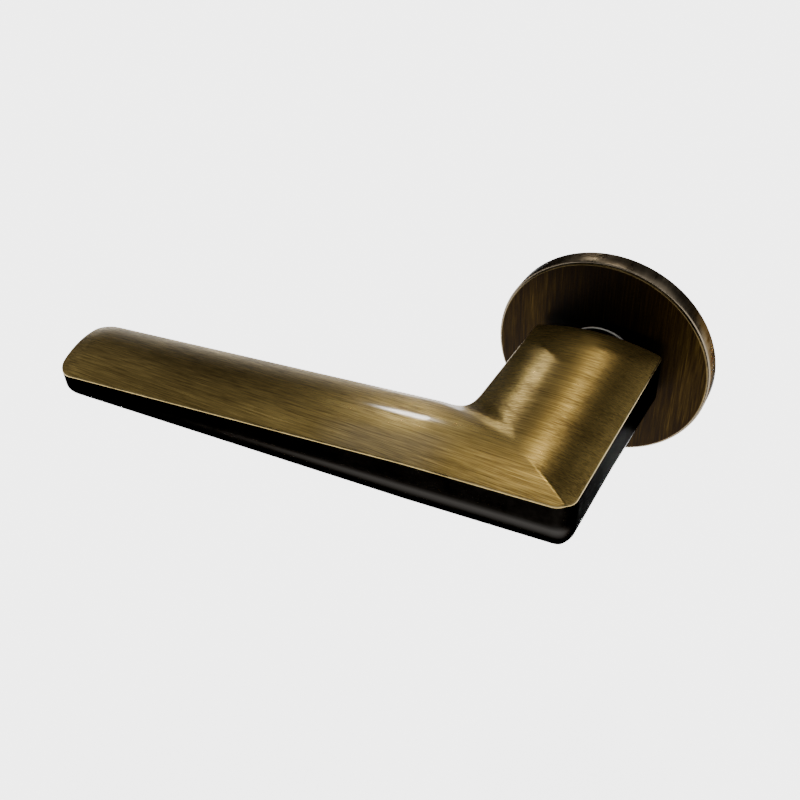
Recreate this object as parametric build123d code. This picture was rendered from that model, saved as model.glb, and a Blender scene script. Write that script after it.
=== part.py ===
from build123d import *
import math
import os

# A sprung door lever handle on a slim round rose.
# Frame: millimetres, +Z up, the door face is the plane Y = 0 and the door lies on its +Y side.
# The origin is the centre of the rose's back, on the spindle axis, and the grip points to -X.

# ---- driving dimensions: lever --------------------------------------------------------------
NECK_HALF = 15.3  # half width of the neck
NECK_END = 7.2  # distance of the neck's end face from the door
REACH = 62.0  # distance of the outer corner from the door
GRIP_WIDTH = 21.4
GRIP_SPLAY = 4.0  # degrees by which the grip opens away from the door
TIP_X = 111.0  # front corner of the tip, from the spindle axis
TIP_RAKE = 2.8  # the tip's rear corner stands out this much further than a square cut
CROWN = 2.3  # rise of the brushed top face above its edges
KEEL = 2.3  # the same for the underside
EDGE_TOP = 7.3  # height of the top face's edges at the neck
EDGE_LOW_NECK = 6.0  # depth of the underside's edges at the rose
EDGE_LOW_CORNER = 3.7  # the same from the bend on
EDGE_TOP_TIP = 4.2
EDGE_LOW_TIP = 1.6
CORNER_R = 4.0  # outer corner in plan
INNER_R = 5.5  # inner corner in plan
ROOT_RUN = 6.0  # the grip's thickness stays the same this far past the inner corner
TIP_REAR_R = 3.5
TIP_FRONT_R = 5.0

# ---- driving dimensions: spindle, shank and axial stack ---------------------------------------
SHANK_R = 7.5
SHANK_END = 13.0  # end of the shank, behind the door face
FLAT_HALF = 6.3  # half distance across the shank's flats
FLAT_START = 6.8
SPINDLE = 8.0  # square bar
SPINDLE_SLOT = 8.1  # square hole for it
SPINDLE_CHAMFER = 0.8
SPINDLE_IN = 27.0  # how far the spindle reaches into the neck, from the door face
SPINDLE_STOP = 0.5  # the square hole is this much deeper
SPINDLE_OUT = 30.0  # how far it stands out behind the door face
GRUB_Y = 14.0
GRUB_R = 3.0
GRUB_LENGTH = 3.4
GRUB_KEY = 1.7  # half width of its hexagon socket
GRUB_KEY_DEPTH = 2.0
CLIP_NEAR = 10.9  # circlip, along the spindle axis
CLIP_T = 1.0
CLIP_IN_R = 6.85
CLIP_OUT_R = 9.2
CLIP_GAP_HALF = 1.6  # half width of the circlip's opening
CLIP_EAR_R = 1.5
CLIP_EAR_X = 3.2
CLIP_EYE_R = 0.6  # hole for the pliers
GROOVE_R = 6.8
DISC_T = 0.3  # the conical washer's sheet
DISC_HEIGHT = 0.7
RUN = 0.06  # radial running clearance of the shank
KEY_FIT = 0.03  # clearance of a keyed or pressed fit
LOOSE = 0.1  # clearance of a loose washer
THRUST_GAP = 0.05  # end play left behind the cap
SLIT = 0.02  # gap left between faces that only lie against each other

# ---- driving dimensions: rose -----------------------------------------------------------------
ROSE_R = 26.0
ROSE_DEPTH = 5.0
ROSE_WALL = 1.0
ROSE_EDGE = 0.5  # rounding of the rose's front edge
COVER_HOLE_R = 9.2
PLATE_R = 24.4
PLATE_T = 1.6
PLATE_RIM = 1.4
PLATE_RIM_DEPTH = 3.4
BUSH_R = 9.0
BUSH_END = 0.3  # the bearing's rear end, behind the door face
BUSH_FLANGE_T = 1.0
COLLAR_R = 9.2
COLLAR_CHAMFER = 0.3
COLLAR_GAP = 0.3  # gap between the collar and the rose
BUSH_FLANGE = 1.8  # how far the nylon rings' flanges stand out
COVER_FLANGE_T = 0.8
BOX_IN_R = 12.4
BOX_OUT_R = 14.0
BOX_DEPTH = 8.8
BOX_FLOOR = 0.3  # the spring box's floor lies this far in front of the door face
EAR_R = 2.3
EAR_AT = 14.8
EAR_ANGLES = (45.0, 225.0)
CAP_T = 1.0
CAP_BORE_GAP = 0.5  # between the shank and the cap's hole
CAP_SCREW_R = 0.95
CAP_SCREW_LENGTH = 5.0
CAP_HEAD_R = 1.9
CAP_HEAD_T = 0.9
CAP_SLOT_HALF = 0.2
CAP_SLOT_DEPTH = 0.5
POST_AT = 19.0  # half the spacing of the bolt-through posts
POST_R = 3.7
POST_LENGTH = 10.0
POST_FLANGE = 0.2
POST_FLANGE_T = 0.8
M4_TAP_R = 1.65
TAP_START = 0.5  # the posts' thread starts this far behind the door face
WOOD_AT = 19.0
WOOD_ANGLES = (135.0, 315.0)
WOOD_R = 1.6
WOOD_HOLE_R = 1.9
WOOD_HEAD_R = 3.3
WOOD_HEAD_T = 1.7
WOOD_HEAD_EDGE = 0.8
WOOD_CROSS = (1.8, 0.45)  # half length and half width of the cross recess's arms
WOOD_CROSS_DEPTH = 1.0
WOOD_LENGTH = 16.0  # tip, behind the door face
WOOD_POINT = 4.0
WOOD_POINT_R = 0.2
COVER_CLIP_ANGLES = (90.0, 210.0, 330.0)
COVER_CLIP_HALF = 4.0
COVER_CLIP_END = 0.6
SPRING_R = 10.2
SPRING_WIRE = 1.2
SPRING_TURNS = 3.75
SPRING_START = 1.2
SPRING_END = 5.9
SPRING_LEG = 1.2  # how far the plate's leg reaches in front of the door face
SPRING_HOLE = 1.3
CAM_T = 1.6
CAM_R = 9.8
LUG_R = 12.0
LUG_HALF = 1.6
LUG_ANGLE = 90.0
TRAVEL = 45.0  # degrees the lever turns
STOP_AT = 11.0
STOP_R = 0.9
STOP_OVER = 0.2  # the pins reach this far past the cam's face
STOP_GAP = 1.5  # degrees left between the cam's lug and a stop at each limit


def ring(outer, inner, near, far):
    """A ring about the spindle axis, from Y = near to Y = far."""
    length = far - near
    body = Cylinder(outer, length) - Cylinder(inner, length)
    return Pos(0, (near + far) / 2, 0) * Rot(90, 0, 0) * body


def rod(radius, near, far, x=0.0, z=0.0):
    """A round bar parallel to the spindle axis."""
    return Pos(x, (near + far) / 2, z) * Rot(90, 0, 0) * Cylinder(radius, far - near)


def block(x0, x1, y0, y1, z0, z1):
    """A box given by its limits."""
    centre = Pos((x0 + x1) / 2, (y0 + y1) / 2, (z0 + z1) / 2)
    return centre * Box(x1 - x0, y1 - y0, z1 - z0)


def polar(radius, angle):
    """X and Z of a point about the spindle axis, seen from the front."""
    turn = math.radians(angle)
    return radius * math.cos(turn), radius * math.sin(turn)


def as_one(shape):
    """The single solid of a boolean result."""
    solids = shape.solids()
    return max(solids, key=lambda solid: solid.volume)


# ---- lever handle -----------------------------------------------------------------------------
SPLAY = math.radians(GRIP_SPLAY)
GRIP_DIR = Vector(-math.cos(SPLAY), -math.sin(SPLAY), 0)
GRIP_SIDE = Vector(-math.sin(SPLAY), math.cos(SPLAY), 0)  # from the front edge to the rear edge
OUTER = Vector(NECK_HALF, -REACH, 0)
REAR = OUTER + GRIP_SIDE * GRIP_WIDTH
INNER = REAR + GRIP_DIR * ((-NECK_HALF - REAR.X) / GRIP_DIR.X)
TIP_FRONT = OUTER + GRIP_DIR * ((-TIP_X - OUTER.X) / GRIP_DIR.X)
TIP_REAR = TIP_FRONT + GRIP_SIDE * GRIP_WIDTH + GRIP_DIR * TIP_RAKE
BLADE_LENGTH = (TIP_REAR - INNER).dot(GRIP_DIR) - ROOT_RUN
TALL = 400.0  # size of the construction solids
OVERCUT = 3.0  # how far construction faces run past the outline
ALIGNED = 0.99999  # cosine above which two directions count as the same


def plan_prism():
    """The lever's outline in plan, with its rounded corners, as a tall prism."""
    corners = [
        Vector(-NECK_HALF, -NECK_END), INNER, TIP_REAR, TIP_FRONT, OUTER, Vector(NECK_HALF, -NECK_END),
    ]
    face = Face(Wire.make_polygon(corners, close=True))
    radii = {1: INNER_R, 2: TIP_REAR_R, 3: TIP_FRONT_R, 4: CORNER_R}
    for index, radius in radii.items():
        vertex = min(face.vertices(), key=lambda v: (Vector(v.X, v.Y, v.Z) - corners[index]).length)
        face = face.fillet_2d(radius, [vertex])
    return Pos(0, 0, -TALL / 2) * extrude(face, TALL, dir=(0, 0, 1))


def half_space(point, inward):
    """Everything on the inward side of a vertical plane through a point."""
    slab = Box(TALL, TALL, TALL, align=(Align.CENTER, Align.CENTER, Align.MIN))
    return Plane(origin=(point.X, point.Y, 0), z_dir=inward) * slab


def crowned_profile(rise, edge, side):
    """The grip's section at its root, crowned on one side and open ended on the other."""
    half = GRIP_WIDTH / 2
    radius = (half * half + rise * rise) / (2 * rise)
    wide = half + OVERCUT
    low = edge + rise - radius + math.sqrt(radius * radius - wide * wide)
    points = [(-wide, side * low), (0, side * (edge + rise)), (wide, side * low)]
    far = -side * TALL / 4
    root = INNER + GRIP_DIR * ROOT_RUN - GRIP_SIDE * half  # where the grip starts to taper
    plane = Plane(origin=root, x_dir=GRIP_SIDE, z_dir=GRIP_SIDE.cross(Vector(0, 0, 1)))
    arc = Edge.make_three_point_arc(*[plane.from_local_coords(Vector(x, z, 0)) for x, z in points])
    corners = [(wide, side * low), (wide, far), (-wide, far), (-wide, side * low)]
    rest = Wire.make_polygon([plane.from_local_coords(Vector(x, z, 0)) for x, z in corners], close=False)
    return Face(Wire([arc] + list(rest.edges())))


def cut_face(solid, point, normal):
    """The flat face that a cut through a point left on a solid."""
    flat = [face for face in solid.faces() if abs(face.normal_at().dot(normal)) > ALIGNED]
    return min(flat, key=lambda face: abs((face.center() - point).dot(normal)))


def lever_blank():
    """Neck and grip with crowned top and underside, mitred at the bend."""
    mitre = (INNER - OUTER).normalized()
    to_neck = Vector(mitre.Y, -mitre.X, 0)
    to_rose = Vector(0, 1, 0)
    bend = Vector(0, INNER.Y + INNER_R, 0)  # from here the underside drops towards the rose
    fall = Vector(0, 0, (EDGE_TOP - EDGE_TOP_TIP) / BLADE_LENGTH)
    rise = Vector(0, 0, (EDGE_LOW_CORNER - EDGE_LOW_TIP) / BLADE_LENGTH)
    drop = Vector(0, 0, (EDGE_LOW_NECK - EDGE_LOW_CORNER) / (-NECK_END - bend.Y))

    top = crowned_profile(CROWN, EDGE_TOP, 1)
    root_top = extrude(top, TALL / 4, dir=-GRIP_DIR) & half_space(OUTER, -to_neck)
    neck_top = extrude(cut_face(root_top, OUTER, to_neck), TALL / 4, dir=to_rose)
    upper = extrude(top, TALL / 3, dir=GRIP_DIR - fall) + root_top + neck_top

    low = crowned_profile(KEEL, EDGE_LOW_CORNER, -1)
    root_low = extrude(low, TALL / 4, dir=-GRIP_DIR) & half_space(OUTER, -to_neck)
    corner_low = extrude(cut_face(root_low, OUTER, to_neck), TALL / 4, dir=to_rose)
    corner_low &= half_space(bend, -to_rose)
    stem_low = extrude(cut_face(corner_low, bend, to_rose), TALL / 4, dir=to_rose - drop)
    lower = extrude(low, TALL / 3, dir=GRIP_DIR + rise) + root_low + corner_low + stem_low
    return as_one(plan_prism() & upper & lower)


def lever_handle():
    """The cast lever with its shank, square hole, grub screw hole and circlip groove."""
    shank = rod(SHANK_R, -NECK_END - 1, SHANK_END)
    for side in (1, -1):
        low, high = sorted((side * FLAT_HALF, side * SHANK_R * 2))
        shank -= block(-SHANK_R, SHANK_R, FLAT_START, SHANK_END + 1, low, high)
    shank -= ring(SHANK_R + 1, GROOVE_R, CLIP_NEAR - SLIT, CLIP_NEAR + CLIP_T + SLIT)
    body = lever_blank() + shank
    half = SPINDLE_SLOT / 2
    body -= block(-half, half, -SPINDLE_IN - SPINDLE_STOP, SHANK_END + 1, -half, half)
    drill = Cylinder(GRUB_R, TALL, align=(Align.CENTER, Align.CENTER, Align.MAX))
    return as_one(body - Pos(0, -GRUB_Y, 0) * drill)


def spindle():
    """The square bar that turns the latch."""
    half = SPINDLE / 2
    bar = block(-half, half, -SPINDLE_IN, SPINDLE_OUT, -half, half)
    return chamfer(bar.faces().sort_by(Axis.Y)[-1].edges(), SPINDLE_CHAMFER)


def grub_screw():
    """The grub screw that holds the spindle, with its hexagon socket downwards."""
    top = -SPINDLE / 2
    body = Pos(0, -GRUB_Y, top - GRUB_LENGTH / 2) * Cylinder(GRUB_R - KEY_FIT, GRUB_LENGTH)
    socket = extrude(RegularPolygon(GRUB_KEY, 6, major_radius=False), GRUB_KEY_DEPTH)
    return body - Pos(0, -GRUB_Y, top - GRUB_LENGTH) * socket


def neck_collar():
    """The bright collar between the neck and the rose."""
    collar = ring(COLLAR_R, SHANK_R + SLIT, -NECK_END, -ROSE_DEPTH - COLLAR_GAP)
    rim = collar.faces().sort_by(Axis.Y)[-1].edges().sort_by(SortBy.LENGTH)[-1:]
    return chamfer(rim, COLLAR_CHAMFER)


def drive_cam():
    """The cam keyed on the shank's flats, with the lug that meets the stops."""
    far = FLAT_START + CAM_T
    lug = block(0, LUG_R, FLAT_START, far, -LUG_HALF, LUG_HALF) & rod(LUG_R, FLAT_START, far)
    disc = rod(CAM_R, FLAT_START, far) + Rot(0, -LUG_ANGLE, 0) * lug
    bore = rod(SHANK_R + KEY_FIT, FLAT_START - 1, far + 1)
    flat = FLAT_HALF + KEY_FIT
    bore &= block(-SHANK_R * 2, SHANK_R * 2, FLAT_START - 1, far + 1, -flat, flat)
    x, z = polar(SPRING_R, LUG_ANGLE)
    return as_one(disc - bore - rod(SPRING_WIRE / 2 + LOOSE, FLAT_START - 1, far + 1, x, z))


def cam_washer():
    """The nylon washer between the cam and the cap."""
    return ring(CAM_R - 0.3, SHANK_R + LOOSE, FLAT_START + CAM_T + SLIT, BOX_DEPTH - KEY_FIT)


def thrust_washer():
    """The steel washer between the cap and the conical washer."""
    near = BOX_DEPTH + CAP_T + THRUST_GAP
    far = CLIP_NEAR - SLIT - DISC_HEIGHT - SLIT
    return ring(CLIP_OUT_R + 1.4, SHANK_R + LOOSE, near, far)


def circlip():
    """The open retaining ring at the shank's end, with its two plier ears."""
    far = CLIP_NEAR + CLIP_T
    body = rod(CLIP_OUT_R, CLIP_NEAR, far)
    for side in (1, -1):
        body += rod(CLIP_EAR_R, CLIP_NEAR, far, side * CLIP_EAR_X, -CLIP_OUT_R)
    body -= rod(CLIP_IN_R, CLIP_NEAR - 1, far + 1)
    body -= block(-CLIP_GAP_HALF, CLIP_GAP_HALF, CLIP_NEAR - 1, far + 1, -TALL, 0)
    for side in (1, -1):
        body -= rod(CLIP_EYE_R, CLIP_NEAR - 1, far + 1, side * CLIP_EAR_X, -CLIP_OUT_R)
    return as_one(body)


def disc_spring():
    """The conical washer that takes up the lever's end play."""
    far = CLIP_NEAR - SLIT
    near = far - DISC_HEIGHT
    inner, outer = SHANK_R + LOOSE, CLIP_OUT_R + 1.2
    profile = [(inner, far - DISC_T), (inner, far), (outer, near + DISC_T), (outer, near)]
    face = Face(Wire.make_polygon([Vector(x, y, 0) for x, y in profile], close=True))
    return revolve(face, Axis.Y, 360)


# ---- rose -------------------------------------------------------------------------------------
def rose_cover():
    """The shallow round cup that is seen, with its edge rounded."""
    cup = ring(ROSE_R, COVER_HOLE_R, -ROSE_DEPTH, 0)
    cup -= rod(ROSE_R - ROSE_WALL, -ROSE_DEPTH + ROSE_WALL, 1)
    rim = cup.faces().sort_by(Axis.Y)[0].edges().sort_by(SortBy.LENGTH)[-1]
    return fillet(rim, ROSE_EDGE)


def cover_bush():
    """The nylon ring in the cover's hole."""
    inner = SHANK_R + RUN
    back = -ROSE_DEPTH + ROSE_WALL
    nose = ring(COVER_HOLE_R - KEY_FIT, inner, -ROSE_DEPTH, back)
    return nose + ring(COVER_HOLE_R + BUSH_FLANGE, inner, back, back + COVER_FLANGE_T)


def base_plate():
    """The plate screwed to the door, with its rim, spring box and the box's two ears."""
    plate = ring(PLATE_R, BUSH_R, -PLATE_T, 0)
    plate += ring(PLATE_R, PLATE_R - PLATE_RIM, -PLATE_RIM_DEPTH, -PLATE_T)
    plate += ring(BOX_OUT_R, BOX_IN_R, 0, BOX_DEPTH)
    plate -= ring(BOX_IN_R, BUSH_R - 1, -BOX_FLOOR, 1)
    for angle in EAR_ANGLES:
        x, z = polar(EAR_AT, angle)
        ear = rod(EAR_R, 0, BOX_DEPTH, x, z) - rod(BOX_IN_R, -1, BOX_DEPTH + 1)
        plate += ear
    for angle in EAR_ANGLES:
        x, z = polar(EAR_AT, angle)
        plate -= rod(CAP_SCREW_R + LOOSE / 2, BOX_DEPTH - CAP_SCREW_LENGTH - LOOSE, BOX_DEPTH + 1, x, z)
    for side in (1, -1):
        plate -= rod(POST_R + SLIT, -PLATE_T - 1, 1, side * POST_AT, 0)
    for angle in WOOD_ANGLES:
        x, z = polar(WOOD_AT, angle)
        plate -= rod(WOOD_HOLE_R, -PLATE_T - 1, 1, x, z)
    x, z = polar(SPRING_R, LUG_ANGLE - 360 * SPRING_TURNS)
    plate -= rod(SPRING_WIRE / 2 + LOOSE, -SPRING_HOLE, 1, x, z)
    return as_one(plate)


def bearing_bush():
    """The flanged nylon bearing of the shank."""
    inner = SHANK_R + RUN
    sleeve = ring(BUSH_R - SLIT / 2, inner, -PLATE_T, BUSH_END)
    return sleeve + ring(BUSH_R + BUSH_FLANGE, inner, -PLATE_T - BUSH_FLANGE_T, -PLATE_T)


def spring_cap():
    """The cap of the spring box."""
    far = BOX_DEPTH + CAP_T
    cap = rod(BOX_OUT_R, BOX_DEPTH, far)
    for angle in EAR_ANGLES:
        x, z = polar(EAR_AT, angle)
        cap += rod(EAR_R, BOX_DEPTH, far, x, z)
    for angle in EAR_ANGLES:
        x, z = polar(EAR_AT, angle)
        cap -= rod(CAP_SCREW_R + LOOSE, BOX_DEPTH - 1, far + 1, x, z)
    for angle in stop_angles():
        x, z = polar(STOP_AT, angle)
        cap -= rod(STOP_R + SLIT / 2, BOX_DEPTH - 1, far + 1, x, z)
    return as_one(cap - rod(SHANK_R + CAP_BORE_GAP, BOX_DEPTH - 1, far + 1))


def cap_screws():
    """The two small screws that hold the cap."""
    screws = []
    for angle in EAR_ANGLES:
        x, z = polar(EAR_AT, angle)
        near = BOX_DEPTH + CAP_T
        far = near + CAP_HEAD_T
        screw = rod(CAP_SCREW_R, BOX_DEPTH - CAP_SCREW_LENGTH, near, x, z)
        screw += rod(CAP_HEAD_R, near, far, x, z)
        slot = block(-CAP_SLOT_HALF, CAP_SLOT_HALF, far - CAP_SLOT_DEPTH, far + 1, -CAP_HEAD_R, CAP_HEAD_R)
        screws.append(screw - Pos(x, 0, z) * slot)
    return Compound(children=screws)


def stop_angles():
    """Where the two stop pins stand, seen from the front."""
    reach = math.degrees(math.asin((LUG_HALF + STOP_R) / STOP_AT)) + STOP_GAP
    return LUG_ANGLE - reach, LUG_ANGLE + TRAVEL + reach


def stop_pins():
    """The two pins in the cap that limit the cam's lug."""
    near = FLAT_START - STOP_OVER
    pins = [rod(STOP_R, near, BOX_DEPTH + CAP_T, *polar(STOP_AT, angle)) for angle in stop_angles()]
    return Compound(children=pins)


def fixing_posts():
    """The two threaded posts that the bolts through the door screw into."""
    posts = []
    for side in (1, -1):
        x = side * POST_AT
        post = rod(POST_R, -PLATE_T, POST_LENGTH, x)
        post += rod(POST_R + POST_FLANGE, -PLATE_T - POST_FLANGE_T, -PLATE_T, x)
        posts.append(post - rod(M4_TAP_R, TAP_START, POST_LENGTH + 1, x))
    return Compound(children=posts)


def wood_screws():
    """The two pan-head screws that hold the plate to the door."""
    screws = []
    top = -PLATE_T - WOOD_HEAD_T
    start = WOOD_LENGTH - WOOD_POINT
    for angle in WOOD_ANGLES:
        x, z = polar(WOOD_AT, angle)
        head = rod(WOOD_HEAD_R, top, -PLATE_T, x, z)
        head = fillet(head.faces().sort_by(Axis.Y)[0].edges(), WOOD_HEAD_EDGE)
        for wide, tall in (WOOD_CROSS, WOOD_CROSS[::-1]):
            head -= block(x - wide, x + wide, top - 1, top + WOOD_CROSS_DEPTH, z - tall, z + tall)
        tip = Rot(-90, 0, 0) * Cone(WOOD_R, WOOD_POINT_R, WOOD_POINT)
        tip = Pos(x, start + WOOD_POINT / 2, z) * tip
        screws.append(head + rod(WOOD_R, -PLATE_T, start, x, z) + tip)
    return Compound(children=screws)


def cover_clips():
    """The three leaf springs that hold the cover on the plate's rim."""
    clips = []
    band = ring(ROSE_R - ROSE_WALL - KEY_FIT, PLATE_R + SLIT, -PLATE_RIM_DEPTH, -COVER_CLIP_END)
    wedge = block(0, ROSE_R, -ROSE_DEPTH, 0, -COVER_CLIP_HALF, COVER_CLIP_HALF)
    for angle in COVER_CLIP_ANGLES:
        clips.append(as_one(band & (Rot(0, -angle, 0) * wedge)))
    return Compound(children=clips)


def return_spring():
    """The torsion spring round the shank, one leg in the plate and the other in the cam's lug."""
    length = SPRING_END - SPRING_START
    path = Helix(length / SPRING_TURNS, length, SPRING_R, lefthand=True)
    circle = Plane(origin=path @ 0, z_dir=path % 0) * Circle(SPRING_WIRE / 2)
    coil = Rot(-90, 0, 0) * sweep(circle, path=path, is_frenet=True)
    start_angle = LUG_ANGLE - 360 * SPRING_TURNS
    coil = Pos(0, SPRING_START, 0) * Rot(0, -start_angle, 0) * coil
    wire = SPRING_WIRE / 2
    x0, z0 = polar(SPRING_R, start_angle)
    x1, z1 = polar(SPRING_R, LUG_ANGLE)
    legs = rod(wire, -SPRING_LEG, SPRING_START, x0, z0) + Pos(x0, SPRING_START, z0) * Sphere(wire)
    legs += rod(wire, SPRING_END, FLAT_START + CAM_T, x1, z1) + Pos(x1, SPRING_END, z1) * Sphere(wire)
    return as_one(coil + legs)


# ---- write the parts --------------------------------------------------------------------------
os.makedirs("parts", exist_ok=True)
PIECES = {
    "lever_handle": lever_handle(),
    "spindle": spindle(),
    "grub_screw": grub_screw(),
    "neck_collar": neck_collar(),
    "drive_cam": drive_cam(),
    "cam_washer": cam_washer(),
    "thrust_washer": thrust_washer(),
    "disc_spring": disc_spring(),
    "circlip": circlip(),
    "rose_cover": rose_cover(),
    "cover_bush": cover_bush(),
    "base_plate": base_plate(),
    "bearing_bush": bearing_bush(),
    "spring_cap": spring_cap(),
    "cap_screws": cap_screws(),
    "stop_pins": stop_pins(),
    "fixing_posts": fixing_posts(),
    "wood_screws": wood_screws(),
    "cover_clips": cover_clips(),
    "return_spring": return_spring(),
}
for name, piece in PIECES.items():
    export_step(piece, f"parts/{name}.step")
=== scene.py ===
"""The looks of a door lever handle on a round rose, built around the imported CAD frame."""
import math

import bmesh
import bpy
from mathutils import Matrix, Vector
from mathutils.geometry import delaunay_2d_cdt


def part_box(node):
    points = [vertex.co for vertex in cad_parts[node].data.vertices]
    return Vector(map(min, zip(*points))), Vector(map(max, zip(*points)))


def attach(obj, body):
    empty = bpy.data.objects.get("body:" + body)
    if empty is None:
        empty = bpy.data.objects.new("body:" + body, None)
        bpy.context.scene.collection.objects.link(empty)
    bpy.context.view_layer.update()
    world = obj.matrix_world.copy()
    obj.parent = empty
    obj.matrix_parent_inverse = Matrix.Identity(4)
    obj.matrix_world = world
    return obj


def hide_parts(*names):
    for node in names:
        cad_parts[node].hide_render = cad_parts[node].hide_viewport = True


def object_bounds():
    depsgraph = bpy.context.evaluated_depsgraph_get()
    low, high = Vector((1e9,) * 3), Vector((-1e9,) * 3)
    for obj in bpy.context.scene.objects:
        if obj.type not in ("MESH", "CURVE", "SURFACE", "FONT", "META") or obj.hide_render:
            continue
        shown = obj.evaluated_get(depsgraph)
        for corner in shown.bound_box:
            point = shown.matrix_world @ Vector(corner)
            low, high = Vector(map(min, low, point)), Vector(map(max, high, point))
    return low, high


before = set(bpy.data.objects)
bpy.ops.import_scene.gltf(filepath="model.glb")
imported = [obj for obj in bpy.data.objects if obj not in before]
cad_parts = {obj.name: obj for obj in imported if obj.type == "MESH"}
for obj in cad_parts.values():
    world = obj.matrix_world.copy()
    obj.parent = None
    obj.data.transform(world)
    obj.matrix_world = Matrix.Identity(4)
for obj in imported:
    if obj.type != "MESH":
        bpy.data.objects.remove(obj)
cad_low, cad_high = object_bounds()
MM = 0.001

# ---- the lever's plan, in millimetres ---------------------------------------------------------
# X runs along the door, Y into it, and the origin is on the spindle axis.
NECK_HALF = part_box("lever_handle")[1].x / MM
NECK_END = 7.2  # the neck ends this far in front of the door
REACH = 62.0  # from the door to the outer corner of the bend
GRIP_WIDTH = 21.4
SPLAY = math.radians(4.0)  # the grip leans this much away from the door
TIP_X = 111.0  # from the axis to the tip's front corner
TIP_RAKE = 2.8  # how much further the tip's rear corner reaches
CROWN, KEEL = 2.3, 2.3  # rise of the crowned top and of the underside
EDGE_TOP, EDGE_TOP_TIP = 7.3, 4.2  # heights of the upper edge, at the bend and at the tip
EDGE_LOW_NECK, EDGE_LOW_CORNER, EDGE_LOW_TIP = 6.0, 3.7, 1.6  # depths of the lower edge
NECK_R, INNER_R, TIP_REAR_R, TIP_FRONT_R, CORNER_R = 0.8, 5.5, 3.5, 5.0, 4.0  # radii in plan
ROOT_RUN = 6.0  # the grip starts to thin this far past the bend
EDGE_R = 0.26  # the worn upper edge
LOW_R = 2.6  # the rounded lower edge
CREASE = 0.9  # half width of the softened mitre at the outer corner
CREASE_SPREAD, CREASE_FROM, CREASE_TO = 3.6, 0.35, 0.85  # how it widens, over shares of its length
TIP_FALL, TIP_FALL_RUN = 0.5, 6.0  # the top falls away a little over the last stretch of the tip
GRUB_Y, GRUB_R = 14.0, 3.0  # the grub screw's hole in the underside
GRUB_SEAT = -4.05
GRUB_ROUND = 0.35  # the round at the hole's mouth
GRUB_SIDES = 40
# Painted highlight on the flank: a lighter band that stands in for the floor's reflection where the rounded
# lower edge begins, as (share of the way down, strength), and the X range over which that fades in.
FLANK_HIGHLIGHT = [(0.06, 0.0), (0.5, 0.0), (0.6, 0.1), (0.68, 0.45), (0.76, 1.0), (0.84, 0.8), (0.93, 0.3)]
FLANK_HIGHLIGHT_START, FLANK_HIGHLIGHT_FULL = -100, -30

# ---- how finely the lever is meshed, in millimetres and steps -----------------------------------
TOP, EDGE, FLANK, SHANK = range(4)  # the lever's material slots
ARC_STEPS = 10
SIDE_STEPS = [28, 70, 14, 92, 40, 24]  # along each straight side of the plan
EDGE_RINGS, LOW_RINGS = 5, 8  # over the upper and the lower round
SUPPORT, LOW_SUPPORT = 0.35, 0.5  # rings that hold the top and the underside beside their rounds
NET_GAP = 1.0  # between the outline and the net that fills it
CREASE_GAP = 0.5  # between the mitre's own rows and the net
HOLE_GAP = 0.95  # between the grub screw's hole and the net
GRIP_NET, NECK_NET, CREASE_STEP = (1.5, 1.05), (1.12, 1.4), 0.7  # meshes of the net
GRIP_ROWS, GRIP_ROWS_BACK = 100, 40  # rows of the grip's net, and how far past the bend they start
WELD = 1e-7  # metres
NORMAL_STEP = 0.02  # over which the top's slope is measured
UV_PER_METRE = 10

ALONG = Vector((-math.cos(SPLAY), -math.sin(SPLAY)))
ACROSS = Vector((-math.sin(SPLAY), math.cos(SPLAY)))
OUTER = Vector((NECK_HALF, -REACH))
REAR = OUTER + ACROSS * GRIP_WIDTH
INNER = REAR + ALONG * ((-NECK_HALF - REAR.x) / ALONG.x)
TIP_FRONT = OUTER + ALONG * ((-TIP_X - OUTER.x) / ALONG.x)
TIP_REAR = TIP_FRONT + ACROSS * GRIP_WIDTH + ALONG * TIP_RAKE
MITRE = (INNER - OUTER).normalized()
TO_NECK = Vector((MITRE.y, -MITRE.x))
TIP_SIDE = (TIP_REAR - TIP_FRONT).normalized()
FROM_TIP = Vector((TIP_SIDE.y, -TIP_SIDE.x))
BLADE = (TIP_REAR - INNER).dot(ALONG) - ROOT_RUN
BEND_Y = INNER.y + INNER_R
HALF = GRIP_WIDTH / 2
LIMIT = HALF * 1.5  # the crowned section is level beyond this distance from its middle
GRUB = Vector((0.0, -GRUB_Y))
CORNERS = [
    (Vector((-NECK_HALF, -NECK_END)), NECK_R), (INNER, -INNER_R), (TIP_REAR, TIP_REAR_R),
    (TIP_FRONT, TIP_FRONT_R), (OUTER, CORNER_R), (Vector((NECK_HALF, -NECK_END)), NECK_R),
]  # with their radii, negative at the inner corner


def smooth(low, high, value):
    """Smooth step from 0 at low to 1 at high."""
    t = min(1.0, max(0.0, (value - low) / (high - low)))
    return t * t * (3 - 2 * t)


def arc_height(v, rise):
    """Height above the edge of a crowned section, at distance v from its middle."""
    radius = (HALF * HALF + rise * rise) / (2 * rise)
    v = max(-LIMIT, min(LIMIT, v))
    return rise - radius + math.sqrt(radius * radius - v * v)


def stations(p):
    """Where a plan point lies: across the grip, along it past the root, across the neck, past the mitre."""
    grip_v = (p - OUTER).dot(ACROSS) - HALF
    run = max(0.0, (p - INNER).dot(ALONG) - ROOT_RUN)
    return grip_v, run, HALF * p.x / NECK_HALF, (p - OUTER).dot(TO_NECK)


def crease_half(p):
    """Half width of the softened mitre, crisp at the outer corner and soft at the inner one."""
    share = (p - OUTER).dot(MITRE) / (INNER - OUTER).length
    return CREASE * (1 + CREASE_SPREAD * smooth(CREASE_FROM, CREASE_TO, share))


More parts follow.
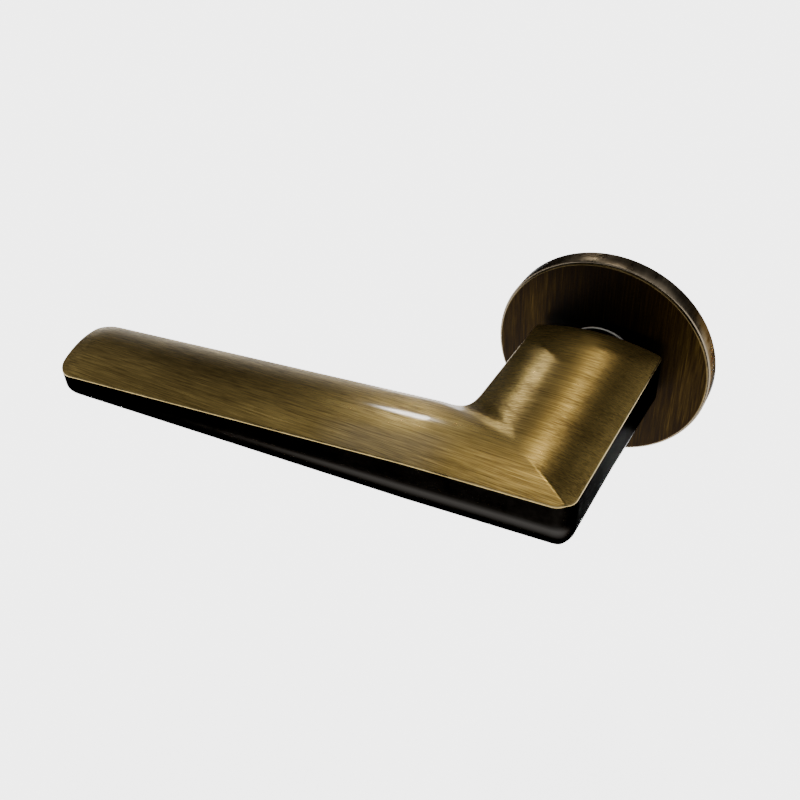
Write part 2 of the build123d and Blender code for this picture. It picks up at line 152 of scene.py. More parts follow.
def top_height(p):
    """Height of the brushed top at a plan point, the mitre softened."""
    grip_v, run, neck_v, past = stations(p)
    grip = EDGE_TOP + arc_height(grip_v, CROWN)
    grip -= run * (EDGE_TOP - EDGE_TOP_TIP) / BLADE
    neck = EDGE_TOP + arc_height(neck_v, CROWN)
    w = smooth(-crease_half(p), crease_half(p), past)
    from_tip = (p - TIP_FRONT).dot(FROM_TIP)
    fall = TIP_FALL * max(0.0, 1 - from_tip / TIP_FALL_RUN) ** 2
    return neck * w + grip * (1 - w) - fall


def low_height(p):
    """Height of the underside at a plan point."""
    grip_v, run, neck_v, past = stations(p)
    grip = EDGE_LOW_CORNER + arc_height(grip_v, KEEL)
    grip -= run * (EDGE_LOW_CORNER - EDGE_LOW_TIP) / BLADE
    neck = EDGE_LOW_CORNER + arc_height(neck_v, KEEL)
    neck += max(0.0, p.y - BEND_Y) * (EDGE_LOW_NECK - EDGE_LOW_CORNER) / (-NECK_END - BEND_Y)
    w = smooth(-CREASE, CREASE, past)
    return -(neck * w + grip * (1 - w))


def outline(inset):
    """The plan outline moved inwards, with the same number of points for every inset."""
    count = len(CORNERS)
    lines = []
    for i in range(count):
        a, b = CORNERS[i][0], CORNERS[(i + 1) % count][0]
        d = (b - a).normalized()
        inward = Vector((-d.y, d.x))
        lines.append((a + inward * inset, d))
    arcs = []
    for i in range(count):
        (p0, d0), (p1, d1) = lines[i - 1], lines[i]
        cross = d0.x * d1.y - d0.y * d1.x
        t = ((p1.x - p0.x) * d1.y - (p1.y - p0.y) * d1.x) / cross
        corner = p0 + d0 * t
        radius = CORNERS[i][1]
        radius = max(radius - inset, 0.05) if radius > 0 else -radius + inset
        turn = math.atan2(cross, d0.dot(d1))
        run = radius * math.tan(abs(turn) / 2)
        start = corner - d0 * run
        side = 1 if turn > 0 else -1
        centre = start + Vector((-d0.y, d0.x)) * side * radius
        arm = start - centre
        arcs.append([
            centre + Matrix.Rotation(turn * k / ARC_STEPS, 2) @ arm for k in range(ARC_STEPS + 1)
        ])
    points = []
    for i in range(count):
        points += arcs[i]
        a, b = arcs[i][-1], arcs[(i + 1) % count][0]
        points += [a.lerp(b, k / SIDE_STEPS[i]) for k in range(1, SIDE_STEPS[i])]
    return points


def inside(polygon, p):
    """Whether a plan point is inside a polygon."""
    found = False
    for i, a in enumerate(polygon):
        b = polygon[i - 1]
        if (a.y > p.y) != (b.y > p.y) and p.x < (b.x - a.x) * (p.y - a.y) / (b.y - a.y) + a.x:
            found = not found
    return found


def fill_points(margin):
    """Points of an even net over the plan, clear of its outline, denser along the mitre."""
    fence = outline(margin)
    points = []
    for i in range(GRIP_ROWS):
        for j in range(-9, 10):
            p = INNER + ALONG * (i * GRIP_NET[0] - GRIP_ROWS_BACK) + ACROSS * (j * GRIP_NET[1] - HALF)
            past = (p - OUTER).dot(TO_NECK)
            if past < -crease_half(p) - CREASE_GAP and inside(fence, p):
                points.append(p)
    for i in range(45):
        for j in range(-13, 14):
            p = Vector((j * NECK_NET[0], -NECK_END - 1 - i * NECK_NET[1]))
            past = (p - OUTER).dot(TO_NECK)
            if past > crease_half(p) + CREASE_GAP and inside(fence, p):
                points.append(p)
    length = (INNER - OUTER).length
    for k in range(int(length / CREASE_STEP) + 1):
        for row in (-1.0, -0.66, -0.33, 0.0, 0.33, 0.66, 1.0):
            p = OUTER + MITRE * (k * CREASE_STEP + 0.2)
            p += TO_NECK * row * crease_half(p)
            if inside(fence, p):
                points.append(p)
    return points


def new_object(name, vertices, faces, slots=None):
    """A mesh object from vertices in millimetres, with a material number for each face."""
    mesh = bpy.data.meshes.new(name)
    mesh.from_pydata([Vector(v) * MM for v in vertices], [], faces)
    mesh.polygons.foreach_set("use_smooth", [True] * len(faces))
    if slots:
        mesh.polygons.foreach_set("material_index", slots)
    mesh.update()
    piece = bpy.data.objects.new(name, mesh)
    bpy.context.collection.objects.link(piece)
    return piece


def clean(piece, angle=40.0):
    """Merges doubles, points the faces outwards and keeps edges over the angle sharp."""
    bm = bmesh.new()
    bm.from_mesh(piece.data)
    bmesh.ops.remove_doubles(bm, verts=bm.verts, dist=WELD)
    bmesh.ops.dissolve_degenerate(bm, edges=bm.edges, dist=WELD)
    bmesh.ops.recalc_face_normals(bm, faces=bm.faces)
    for edge in bm.edges:
        if len(edge.link_faces) == 2:
            edge.smooth = edge.calc_face_angle(0) < math.radians(angle)
    bm.to_mesh(piece.data)
    bm.free()
    return piece


def planar_uv(piece, u_axis, v_axis):
    """Coordinates along two axes, so that the brushed finish knows its direction."""
    layer = piece.data.uv_layers.new(name="brush")
    for loop in piece.data.loops:
        co = piece.data.vertices[loop.vertex_index].co
        layer.data[loop.index].uv = (co[u_axis] * UV_PER_METRE, co[v_axis] * UV_PER_METRE)


def true_normals(piece):
    """Gives the top the surface's own normals, so that reflections run clean across its net."""
    mesh = piece.data
    across, along = Vector((NORMAL_STEP, 0)), Vector((0, NORMAL_STEP))
    normals = [corner.vector.copy() for corner in mesh.corner_normals]
    for polygon in mesh.polygons:
        if polygon.material_index == TOP:
            for index in polygon.loop_indices:
                p = mesh.vertices[mesh.loops[index].vertex_index].co.xy / MM
                normals[index] = Vector((
                    top_height(p - across) - top_height(p + across),
                    top_height(p - along) - top_height(p + along), 2 * NORMAL_STEP,
                )).normalized()
    mesh.normals_split_custom_set(normals)
    return piece


def turns(steps):
    """Evenly spaced angles of a full turn."""
    return [2 * math.pi * k / steps for k in range(steps)]


def build_lever():
    """The lever's casting: crowned, mitred top, worn upper edge, dark flanks with a painted highlight,
    round lower edge.
    """
    vertices, faces, slots, highlight_levels = [], [], [], []
    outer = outline(0)
    count = len(outer)

    # A ring may carry the flank's painted highlight, faded in along X.
    def add_ring(points, painted_highlight=0.0):
        start = len(vertices)
        vertices.extend(points)
        highlight_levels.extend(painted_highlight * smooth(FLANK_HIGHLIGHT_START, FLANK_HIGHLIGHT_FULL, p[0]) for p in points)
        return start

    support = outline(EDGE_R + SUPPORT)
    rings = [(add_ring([(p.x, p.y, top_height(p)) for p in support]), TOP)]
    for k in range(EDGE_RINGS + 1):
        turn = math.pi / 2 * k / EDGE_RINGS
        inset, drop = EDGE_R * (1 - math.sin(turn)), EDGE_R * (1 - math.cos(turn))
        ring = [(p.x, p.y, top_height(p) - drop) for p in outline(inset)]
        rings.append((add_ring(ring), TOP if k == 0 else EDGE))
    # The flank's rings, with the painted highlight that stands in for the floor's reflection on the lower
    # round.
    for share, painted_highlight in FLANK_HIGHLIGHT:
        ring = []
        for p in outer:
            high, low = top_height(p) - EDGE_R, low_height(p) + LOW_R
            ring.append((p.x, p.y, high + (low - high) * share))
        rings.append((add_ring(ring, painted_highlight), FLANK))
    for k in range(LOW_RINGS + 1):
        turn = math.pi / 2 * k / LOW_RINGS
        inset, lift = LOW_R * (1 - math.cos(turn)), LOW_R * (1 - math.sin(turn))
        ring = [(p.x, p.y, low_height(p) + lift) for p in outline(inset)]
        rings.append((add_ring(ring), FLANK))
    base = outline(LOW_R + LOW_SUPPORT)
    rings.append((add_ring([(p.x, p.y, low_height(p)) for p in base]), FLANK))
    for (upper, _), (lower, slot) in zip(rings, rings[1:]):
        for i in range(count):
            j = (i + 1) % count
            faces.append((upper + i, lower + i, lower + j, upper + j))
            slots.append(slot)

    def fill(start, ring, height, margin, slot, hole=()):
        """Closes a ring, and a round hole in it, with an even net that uses their own vertices."""
        flat, known, loops = [], [], []
        for first, loop in [(start, ring), *hole]:
            loops.append(list(range(len(flat), len(flat) + len(loop))))
            flat += loop
            known += range(first, first + len(loop))
        net = fill_points(margin)
        if hole:
            net = [p for p in net if (p - GRUB).length > GRUB_R + HOLE_GAP]
        made, _, triangles, sources, _, owners = delaunay_2d_cdt(flat + net, [], loops, 0, 1e-6, True)
        numbers = []
        for p, source in zip(made, sources):
            if source and min(source) < len(known):
                numbers.append(known[min(source)])
            else:
                numbers.append(add_ring([(p.x, p.y, height(p))]))
        for triangle, owner in zip(triangles, owners):
            if list(owner) == [0]:
                faces.append(tuple(numbers[k] for k in triangle))
                slots.append(slot)

    fill(rings[0][0], support, top_height, EDGE_R + NET_GAP, TOP)
    loops = []
    for radius, lift in ((GRUB_R + GRUB_ROUND, 0.0), (GRUB_R, GRUB_ROUND), (GRUB_R, None)):
        plan = [GRUB + Vector((math.cos(t), math.sin(t))) * radius for t in turns(GRUB_SIDES)]
        heights = [low_height(p) + lift if lift is not None else GRUB_SEAT for p in plan]
        loops.append((add_ring([(p.x, p.y, z) for p, z in zip(plan, heights)]), plan))
    fill(rings[-1][0], base, low_height, LOW_R + NET_GAP, FLANK, loops[:1])
    for (a, plan), (b, _) in zip(loops, loops[1:]):
        for k in range(len(plan)):
            n = (k + 1) % len(plan)
            faces.append((a + k, a + n, b + n, b + k))
            slots.append(SHANK)
    faces.append(tuple(loops[-1][0] + k for k in range(GRUB_SIDES)))
    slots.append(SHANK)
    piece = new_object("lever_body", vertices, faces, slots)
    # The painted highlight's strength at each point, read by the flank's material.
    piece.data.attributes.new("painted_highlight", "FLOAT", "POINT").data.foreach_set("value", highlight_levels)
    return true_normals(clean(piece, 32.0))


def cut_from_cad(name, node, plane_y):
    """A copy of the part of a CAD node behind a plane, closed at the cut."""
    bm = bmesh.new()
    bm.from_mesh(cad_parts[node].data)
    bmesh.ops.remove_doubles(bm, verts=bm.verts, dist=2e-6)
    geometry = bm.verts[:] + bm.edges[:] + bm.faces[:]
    cut = bmesh.ops.bisect_plane(
        bm, geom=geometry, dist=WELD, plane_co=(0, plane_y * MM, 0), plane_no=(0, 1, 0), clear_inner=True
    )
    rim = [e for e in cut["geom_cut"] if isinstance(e, bmesh.types.BMEdge)]
    bmesh.ops.triangle_fill(bm, edges=rim, use_beauty=True)
    for face in bm.faces:
        face.material_index = 0
        face.smooth = True
    mesh = bpy.data.meshes.new(name)
    bm.to_mesh(mesh)
    bm.free()
    piece = bpy.data.objects.new(name, mesh)
    bpy.context.collection.objects.link(piece)
    return clean(piece, 30.0)


def lathe(name, profile, steps, slots=None):
    """A ring turned about the spindle axis from (radius, y) points."""
    vertices = []
    for t in turns(steps):
        vertices += [(r * math.cos(t), y, r * math.sin(t)) for r, y in profile]
    count = len(profile)
    faces, numbers = [], []
    for k in range(steps):
        a, b = k * count, (k + 1) % steps * count
        for i in range(count):
            j = (i + 1) % count
            faces.append((a + i, a + j, b + j, b + i))
            numbers.append(slots[i] if slots else 0)
    return clean(new_object(name, vertices, faces, numbers), 30.0)


# ---- materials --------------------------------------------------------------------------------
def nodes_of(name):
    """An empty procedural material with its output and Principled shader."""
    material = bpy.data.materials.new(name)
    material.use_nodes = True
    tree = material.node_tree
    tree.nodes.clear()
    out = tree.nodes.new("ShaderNodeOutputMaterial")
    shader = tree.nodes.new("ShaderNodeBsdfPrincipled")
    tree.links.new(shader.outputs[0], out.inputs[0])
    return material, tree, shader


def noise(tree, scale, detail=2.0, rough=0.5):
    """Noise over the object's own coordinates, in waves per metre along X, Y and Z."""
    where = tree.nodes.new("ShaderNodeTexCoord")
    mapping = tree.nodes.new("ShaderNodeMapping")
    mapping.inputs["Scale"].default_value = scale
    texture = tree.nodes.new("ShaderNodeTexNoise")
    texture.inputs["Scale"].default_value = 1.0
    texture.inputs["Detail"].default_value = detail
    texture.inputs["Roughness"].default_value = rough
    tree.links.new(where.outputs["Object"], mapping.inputs[0])
    tree.links.new(mapping.outputs[0], texture.inputs["Vector"])
    return texture.outputs["Fac"]


def remap(tree, value, low, high, to_low, to_high):
    """A value stretched from one range to another and clamped."""
    node = tree.nodes.new("ShaderNodeMapRange")
    tree.links.new(value, node.inputs["Value"])
    node.inputs["From Min"].default_value = low
    node.inputs["From Max"].default_value = high
    node.inputs["To Min"].default_value = to_low
    node.inputs["To Max"].default_value = to_high
    return node.outputs[0]


def maths(tree, operation, a, b):
    """One arithmetic node on two values or sockets."""
    node = tree.nodes.new("ShaderNodeMath")
    node.operation = operation
    for socket, value in zip(node.inputs, (a, b)):
        if isinstance(value, (int, float)):
            socket.default_value = value
        else:
            tree.links.new(value, socket)
    return node.outputs[0]


def ramp(tree, value, stops):
    """A colour ramp from (position, colour) stops."""
    node = tree.nodes.new("ShaderNodeValToRGB")
    tree.links.new(value, node.inputs[0])
    while len(node.color_ramp.elements) < len(stops):
        node.color_ramp.elements.new(0.5)
    for element, (position, colour) in zip(node.color_ramp.elements, stops):
        element.position = position
        element.color = (*colour, 1.0)
    return node.outputs[0]


def weighed(tree, *parts):
    """The sum of sockets, given with their weights."""
    total = maths(tree, "MULTIPLY", *parts[0])
    for part in parts[1:]:
        total = maths(tree, "ADD", total, maths(tree, "MULTIPLY", *part))
    return total


def bump(tree, shader, height, strength, distance):
    """Fine relief on a shader's normal."""
    node = tree.nodes.new("ShaderNodeBump")
    node.inputs["Strength"].default_value = strength
    node.inputs["Distance"].default_value = distance
    tree.links.new(height, node.inputs["Height"])
    tree.links.new(node.outputs[0], shader.inputs["Normal"])


HAIR_WAVES = 5200.0  # brush marks per metre, across their length
HAIR_RELIEF, HAIR_DEPTH = 0.25, 0.00003
GRIT_DEPTH = 0.00005


def brushed(name, line, stops, rough, aniso, coat, lacquered=None):
    """Brushed, darkened metal, its marks along the axis line, with lacquer left over a range of X."""
    material, tree, shader = nodes_of(name)

    def along(long, across):
        return tuple(long if axis == line else across for axis in range(3))

    hair = noise(tree, along(130, HAIR_WAVES), 3.0, 0.65)
    streak = noise(tree, along(55, HAIR_WAVES / 2.2), 3.0, 0.6)
    patch = noise(tree, along(30, 130), 2.0, 0.5)
    mix = weighed(tree, (hair, 0.45), (streak, 0.30), (patch, 0.25))
    colour = ramp(tree, mix, stops)
    tree.links.new(colour, shader.inputs["Base Color"])
    tree.links.new(remap(tree, mix, 0.35, 0.65, rough + 0.08, rough - 0.06), shader.inputs["Roughness"])
    bump(tree, shader, maths(tree, "ADD", hair, streak), HAIR_RELIEF, HAIR_DEPTH)
    shader.inputs["Metallic"].default_value = 1.0
    shader.inputs["Anisotropic"].default_value = aniso
    shader.inputs["Coat Weight"].default_value = coat
    shader.inputs["Coat Roughness"].default_value = 0.10
    if lacquered:
        shader.inputs["Coat IOR"].default_value = 1.8
        where = tree.nodes.new("ShaderNodeTexCoord")
        parts = tree.nodes.new("ShaderNodeSeparateXYZ")
        tree.links.new(where.outputs["Object"], parts.inputs[0])
        edges = [edge * MM for edge in lacquered]
        start = remap(tree, parts.outputs[0], edges[0], edges[1], 0.0, coat)
        end = remap(tree, parts.outputs[0], edges[2], edges[3], coat, 0.0)
        tree.links.new(maths(tree, "MINIMUM", start, end), shader.inputs["Coat Weight"])
    tangent = tree.nodes.new("ShaderNodeTangent")
    tangent.direction_type = "UV_MAP"
    tangent.uv_map = "brush"
    tree.links.new(tangent.outputs[0], shader.inputs["Tangent"])
    return material


def metal(name, stops, rough, grain=900.0, relief=0.05, metallic=1.0, scale=(1, 1, 1)):
    """Plain metal or plastic with a fine grain, cloudy colour and uneven gloss."""
    material, tree, shader = nodes_of(name)
    cloud = noise(tree, tuple(160 * s for s in scale), 4.0, 0.6)
    grit = noise(tree, tuple(grain * s for s in scale), 3.0, 0.6)
    mix = weighed(tree, (cloud, 0.6), (grit, 0.4))
    tree.links.new(ramp(tree, mix, stops), shader.inputs["Base Color"])
    tree.links.new(remap(tree, mix, 0.35, 0.65, rough * 0.8, rough * 1.25), shader.inputs["Roughness"])
    bump(tree, shader, grit, relief, GRIT_DEPTH)
    shader.inputs["Metallic"].default_value = metallic
    return material


def add_painted_highlight(material, colour):
    """Lightens a material where the piece's attribute asks for it: a painted highlight that stands in for a
    reflection.
    """
    tree = material.node_tree
    shader = tree.nodes["Principled BSDF"]
    highlight_attribute = tree.nodes.new("ShaderNodeAttribute")
    highlight_attribute.attribute_name = "painted_highlight"
    mix = tree.nodes.new("ShaderNodeMix")
    mix.data_type = "RGBA"
    base = shader.inputs["Base Color"].links[0].from_socket
    tree.links.new(highlight_attribute.outputs["Fac"], mix.inputs["Factor"])
    tree.links.new(base, mix.inputs[6])
    mix.inputs[7].default_value = colour
    tree.links.new(mix.outputs[2], shader.inputs["Base Color"])


brass_top = brushed(
    "brass_brushed", 0,
    [(0.32, (0.06, 0.038, 0.011)), (0.45, (0.20, 0.136, 0.040)), (0.53, (0.32, 0.222, 0.068)),
     (0.68, (0.60, 0.43, 0.135))],
    0.32, 0.9, 0.5, lacquered=(-42.0, -32.0, -17.0, -11.0),
)
bronze_face = brushed(
    "bronze_brushed", 2,
    [(0.36, (0.0015, 0.0007, 0.0002)), (0.48, (0.0048, 0.0023, 0.0005)), (0.56, (0.010, 0.0056, 0.0011)),
     (0.68, (0.030, 0.018, 0.0040))],
    0.34, 0.7, 0.0,
)
rose_edge = metal("bronze_worn_edge", [(0.3, (0.025, 0.017, 0.006)), (0.7, (0.09, 0.064, 0.026))], 0.3)
worn_edge = metal("brass_worn_edge", [(0.3, (0.16, 0.115, 0.045)), (0.7, (0.40, 0.30, 0.125))], 0.3)
BLACK = [(0.3, (0.0015, 0.0014, 0.0012)), (0.7, (0.004, 0.0036, 0.0032))]
black_nickel = metal("black_nickel", BLACK, 0.14, relief=0.02)
# Black nickel for the flanks, with a grey painted highlight mixed in where the floor's reflection would
# show along the lower round.
black_flank_painted_highlight = metal("black_nickel_painted_highlight", BLACK, 0.2, relief=0.02)
add_painted_highlight(black_flank_painted_highlight, (0.018, 0.017, 0.016, 1.0))
cast_shank = metal("cast_shank", [(0.3, (0.30, 0.29, 0.28)), (0.7, (0.46, 0.45, 0.43))], 0.3)
bronze_side = metal(
    "bronze_side", [(0.3, (0.08, 0.064, 0.044)), (0.7, (0.17, 0.14, 0.10))], 0.3, scale=(1, 0.2, 1)
)
for dull in (black_nickel, black_flank_painted_highlight, bronze_side):
    dull.node_tree.nodes["Principled BSDF"].inputs["Specular Tint"].default_value = (0.1, 0.1, 0.1, 1)
bronze_inside = metal("bronze_inside", [(0.3, (0.25, 0.20, 0.12)), (0.7, (0.40, 0.33, 0.20))], 0.4)
# Dark nickel for the collar, made darker still to stand in for the shade in the gap between the neck's end
# and the rose: partly its finish, partly painted shade.
nickel = metal("nickel_dark_and_painted_shade", [(0.3, (0.010, 0.009, 0.008)), (0.7, (0.028, 0.025, 0.022))], 0.2)
zinc_plated = metal("steel_zinc_plated", [(0.3, (0.42, 0.43, 0.45)), (0.7, (0.60, 0.61, 0.63))], 0.28)
yellow_zinc = metal("steel_yellow_zinc", [(0.3, (0.46, 0.36, 0.14)), (0.7, (0.66, 0.56, 0.30))], 0.3)
oiled = metal("steel_spring_oiled", [(0.3, (0.10, 0.10, 0.11)), (0.7, (0.22, 0.22, 0.24))], 0.24)
black_oxide = metal("steel_black_oxide", [(0.3, (0.02, 0.02, 0.02)), (0.7, (0.05, 0.05, 0.05))], 0.35)
die_cast = metal(
    "zinc_die_cast", [(0.3, (0.30, 0.30, 0.31)), (0.7, (0.44, 0.44, 0.46))], 0.42, grain=1400.0, relief=0.2
)
drawn = metal("steel_drawn_bar", [(0.3, (0.38, 0.38, 0.39)), (0.7, (0.58, 0.58, 0.60))], 0.26,
              grain=1600.0, scale=(1, 0.03, 1))
nylon = metal("nylon_natural", [(0.3, (0.66, 0.64, 0.56)), (0.7, (0.80, 0.78, 0.71))], 0.45, metallic=0.0)


def dress(piece, *materials):
    """Gives a piece its materials in order, in the slots that it has."""
    slots = piece.data.materials
    for number, material in enumerate(materials):
        if number < len(slots):
            slots[number] = material
        else:
            slots.append(material)


# ---- lever --------------------------------------------------------------------------------------
SHANK_GAP = 0.01  # the shank starts just behind the neck's end face
lever = build_lever()
shank = cut_from_cad("lever_shank", "lever_handle", -NECK_END + SHANK_GAP)
planar_uv(lever, 1, 0)
dress(lever, brass_top, worn_edge, black_flank_painted_highlight, cast_shank)
dress(shank, cast_shank)
for piece in (lever, shank):
    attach(piece, "lever")
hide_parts("lever_handle")

# ---- rose cover ---------------------------------------------------------------------------------
cover_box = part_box("rose_cover")
ROSE_R = cover_box[1].x / MM
ROSE_FRONT = cover_box[0].y / MM
COVER_HOLE_R = 9.2
WALL = 1.0
profile = [
    (COVER_HOLE_R, ROSE_FRONT + 0.15), (COVER_HOLE_R + 0.15, ROSE_FRONT), (13.0, ROSE_FRONT),
    (18.0, ROSE_FRONT), (22.5, ROSE_FRONT), (ROSE_R - 0.95, ROSE_FRONT), (ROSE_R - 0.75, ROSE_FRONT),
    (ROSE_R - 0.62, ROSE_FRONT + 0.03), (ROSE_R - 0.52, ROSE_FRONT + 0.12),
    (ROSE_R - 0.46, ROSE_FRONT + 0.26), (ROSE_R - 0.44, ROSE_FRONT + 0.42),
    (ROSE_R - 0.36, ROSE_FRONT + 0.52), (ROSE_R - 0.20, ROSE_FRONT + 0.56),
    (ROSE_R - 0.06, ROSE_FRONT + 0.64), (ROSE_R, ROSE_FRONT + 0.80), (ROSE_R, -2.0), (ROSE_R, -0.12),
    (ROSE_R - 0.12, 0.0), (ROSE_R - WALL + 0.1, 0.0), (ROSE_R - WALL, -0.1),
    (ROSE_R - WALL, ROSE_FRONT + WALL), (COVER_HOLE_R, ROSE_FRONT + WALL),
]
ring_slots = [0, 0, 0, 0, 0, 0, 1, 1, 1, 2, 2, 3, 3, 3, 3, 3, 4, 4, 4, 4, 4, 4]
rose = lathe("rose_face", profile, 256, ring_slots)
planar_uv(rose, 0, 2)
dress(rose, bronze_face, rose_edge, black_nickel, bronze_side, bronze_inside)
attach(rose, "rose")
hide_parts("rose_cover")

# ---- collar -------------------------------------------------------------------------------------
collar_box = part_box("neck_collar")
COLLAR_R = collar_box[1].x / MM
near, far = collar_box[0].y / MM, collar_box[1].y / MM
collar_profile = [
    (7.6, near), (COLLAR_R - 0.25, near), (COLLAR_R - 0.07, near + 0.07), (COLLAR_R, near + 0.25),
    (COLLAR_R, far - 0.55), (COLLAR_R - 0.1, far - 0.4), (COLLAR_R - 0.1, far - 0.3),
    (COLLAR_R, far - 0.2), (COLLAR_R - 0.12, far), (7.6, far),
]
collar = lathe("collar_ring", collar_profile, 160)
dress(collar, nickel)
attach(collar, "lever")
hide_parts("neck_collar")


# ---- wood screws --------------------------------------------------------------------------------
SCREW_HEAD_R, SCREW_SEAT = 3.3, -1.7  # the head's radius and the Y of its underside
THREAD_R, THREAD_CORE_R, THREAD_PITCH = 1.6, 1.1, 1.5
THREAD_SIDES, THREAD_ROWS = 36, 12  # round the screw, and along it in each turn
THREAD_SHARPNESS, THREAD_RUN_IN = 3.2, 1.2  # the run-in is in turns
PLAIN_EXTRA = 0.15  # the plain stretch under the head is this much thicker than the core
POINT_LENGTH, POINT_R = 4.0, 0.06


def screw_thread(name, x, z, start, end):
    """A wood screw's threaded shank with a gimlet point, along Y."""
    around = THREAD_SIDES
    rows = int((end - start) / THREAD_PITCH * THREAD_ROWS)
    vertices, faces = [], []
    for i in range(rows + 1):
        y = start + (end - start) * i / rows
        shrink = min(1.0, (end - y) / POINT_LENGTH)
        fade = smooth(0.0, THREAD_RUN_IN * THREAD_PITCH, y - start)
        for k, t in enumerate(turns(around)):
            phase = ((y - start) / THREAD_PITCH - k / around) % 1.0
            ridge = max(0.0, 1.0 - abs(phase - 0.5) * THREAD_SHARPNESS)
            radius = THREAD_CORE_R + (THREAD_R - THREAD_CORE_R) * ridge * fade
            radius = max((radius + (1 - fade) * PLAIN_EXTRA) * shrink, POINT_R)
            vertices.append((x + radius * math.cos(t), y, z + radius * math.sin(t)))
    for i in range(rows):
        for k in range(around):
            n = (k + 1) % around
            faces.append((i * around + k, i * around + n, (i + 1) * around + n, (i + 1) * around + k))
    faces.append(tuple(range(around)))
    faces.append(tuple(rows * around + k for k in range(around)))
    return clean(new_object(name, vertices, faces), 50.0)


screw_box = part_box("wood_screws")
SCREW_AT = screw_box[1].x / MM - SCREW_HEAD_R
for number, side in enumerate((-1, 1)):
    x, z = side * SCREW_AT, -side * SCREW_AT
    thread = screw_thread(f"wood_screw_thread_{number + 1}", x, z, SCREW_SEAT, screw_box[1].y / MM)
    dress(thread, yellow_zinc)
    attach(thread, "rose")
    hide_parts("wood_screws")
    head_profile = [
        (0.9, -2.5), (1.4, -3.3), (2.5, -3.24), (3.0, -2.95), (3.28, -2.4),
        (SCREW_HEAD_R, SCREW_SEAT), (1.4, -1.64), (0.4, SCREW_SEAT),
    ]
    head = lathe(f"wood_screw_head_{number + 1}", head_profile, 48)
    head.data.transform(Matrix.Translation((x * MM, 0, z * MM)))
    dress(head, yellow_zinc)
    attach(head, "rose")

# ---- CAD pieces that stay -----------------------------------------------------------------------
for node, material in {
    "spindle": drawn, "grub_screw": black_oxide, "drive_cam": zinc_plated, "cam_washer": nylon,
    "thrust_washer": zinc_plated, "disc_spring": oiled, "circlip": oiled, "cover_bush": nylon,
    "base_plate": die_cast, "bearing_bush": nylon, "spring_cap": zinc_plated, "cap_screws": zinc_plated,
    "stop_pins": drawn, "fixing_posts": zinc_plated, "cover_clips": oiled, "return_spring": oiled,
}.items():
    dress(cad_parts[node], material)


# ---- floor, lights and camera -------------------------------------------------------------------
FLOOR_HALF = 4000.0
FLOOR_DROP = 0.075  # metres below the object, clear of the lever when it is pressed down
FLOOR_GLOW = 4.0  # what makes the floor nearly white under the scene's view transform
AIM = (-0.03, -0.04, 0.0)
WARM = (1.0, 0.93, 0.8)
SOFT_BOX, SOFT_DISTANCE = (1.4, 1.2), 2.0
LAMP_DISTANCE = 3.0


def floor_material():
    """Pale, faintly mottled studio floor."""
    material, tree, shader = nodes_of("studio_floor")
    cloud = noise(tree, (6, 6, 6), 3.0, 0.5)
    tree.links.new(ramp(tree, cloud, [(0.3, (0.86, 0.86, 0.86)), (0.7, (0.90, 0.90, 0.90))]),
                   shader.inputs["Base Color"])
    shader.inputs["Roughness"].default_value = 0.9
    shader.inputs["Emission Color"].default_value = (1.0, 1.0, 1.0, 1.0)
    shader.inputs["Emission Strength"].default_value = FLOOR_GLOW
    return material


floor_corners = [(x * FLOOR_HALF, y * FLOOR_HALF, 0) for x, y in ((-1, -1), (1, -1), (1, 1), (-1, 1))]
floor = new_object("floor", floor_corners, [(0, 1, 2, 3)])
floor.location.z = cad_low.z - FLOOR_DROP
dress(floor, floor_material())


def area_light(name, direction, distance, size, power, colour=(1, 1, 1), target=AIM):
    """A rectangular lamp that looks at the object from a direction."""
    data = bpy.data.lights.new(name, "AREA")
    data.shape = "RECTANGLE"
    data.size, data.size_y = size
    data.energy = power
    data.color = colour
    light = bpy.data.objects.new(name, data)
    toward = Vector(direction).normalized()
    light.location = Vector(target) + toward * distance
    light.rotation_mode = "QUATERNION"
    light.rotation_quaternion = (-toward).to_track_quat("-Z", "Y")
    bpy.context.collection.objects.link(light)
    return light


def toward(azimuth, elevation):
    """A direction from its angles in degrees, azimuth 0 along +Y and 90 along +X."""
    turn, lift = math.radians(azimuth), math.radians(elevation)
    return math.sin(turn) * math.cos(lift), math.cos(turn) * math.cos(lift), math.sin(lift)


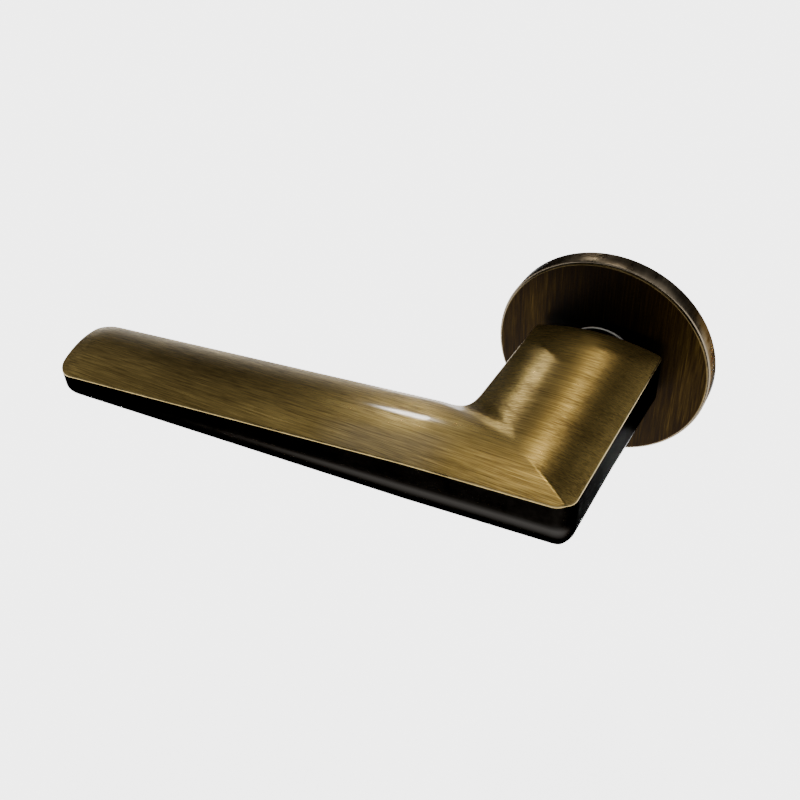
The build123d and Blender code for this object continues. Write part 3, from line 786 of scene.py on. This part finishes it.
for name, azimuth, elevation, power in (
    ("soft_high", -60, 70, 3.0), ("soft_left", -60, 50, 0.5), ("soft_low", -75, 30, 1.3),
    ("soft_front", -120, 30, 2.2), ("soft_right", 50, 50, 6.5), ("soft_door", 170, 35, 12.0),
):
    area_light(name, toward(azimuth, elevation), SOFT_DISTANCE, SOFT_BOX, power)
area_light("ridge_lamp", (-0.137, 0.48, 0.866), LAMP_DISTANCE, (0.24, 0.4), 11.5, WARM)
area_light("crease_lamp", (-0.235, 0.28, 0.931), LAMP_DISTANCE, (0.25, 0.25), 3.5, WARM)
spot = area_light("spot_lamp", (-0.435, 0.734, 0.522), LAMP_DISTANCE, (0.28, 0.28), 7.5,
                  target=(-0.0235, -0.0525, 0.0095))
spot.data.shape = "DISK"

world = bpy.data.worlds.new("studio")
world.use_nodes = True
bpy.context.scene.world = world
background = world.node_tree.nodes["Background"]
background.inputs["Color"].default_value = (0.9, 0.95, 1.0, 1.0)
background.inputs["Strength"].default_value = 0.02

# The camera stands in front of the door, to the right of the lever and above it.
AZIMUTH, ELEVATION, ROLL = math.radians(32.15), math.radians(38.17), math.radians(-3.65)
STAND_OFF, SHIFT_X, SHIFT_Y = 0.2272, -0.04968, -0.01211
back = Vector((
    math.sin(AZIMUTH) * math.cos(ELEVATION), -math.cos(AZIMUTH) * math.cos(ELEVATION), math.sin(ELEVATION)
))
level = Vector((math.cos(AZIMUTH), math.sin(AZIMUTH), 0))
upright = back.cross(level)
right = level * math.cos(ROLL) + upright * math.sin(ROLL)
up = upright * math.cos(ROLL) - level * math.sin(ROLL)
camera_data = bpy.data.cameras.new("camera")
camera_data.sensor_width = 36.0
camera_data.lens = 42.42
camera_data.clip_start, camera_data.clip_end = 0.01, 20.0
camera = bpy.data.objects.new("camera", camera_data)
camera.matrix_world = Matrix((
    (right.x, up.x, back.x, 0), (right.y, up.y, back.y, 0), (right.z, up.z, back.z, 0), (0, 0, 0, 1)
))
camera.location = back * STAND_OFF + right * SHIFT_X + up * SHIFT_Y
bpy.context.collection.objects.link(camera)
bpy.context.scene.camera = camera
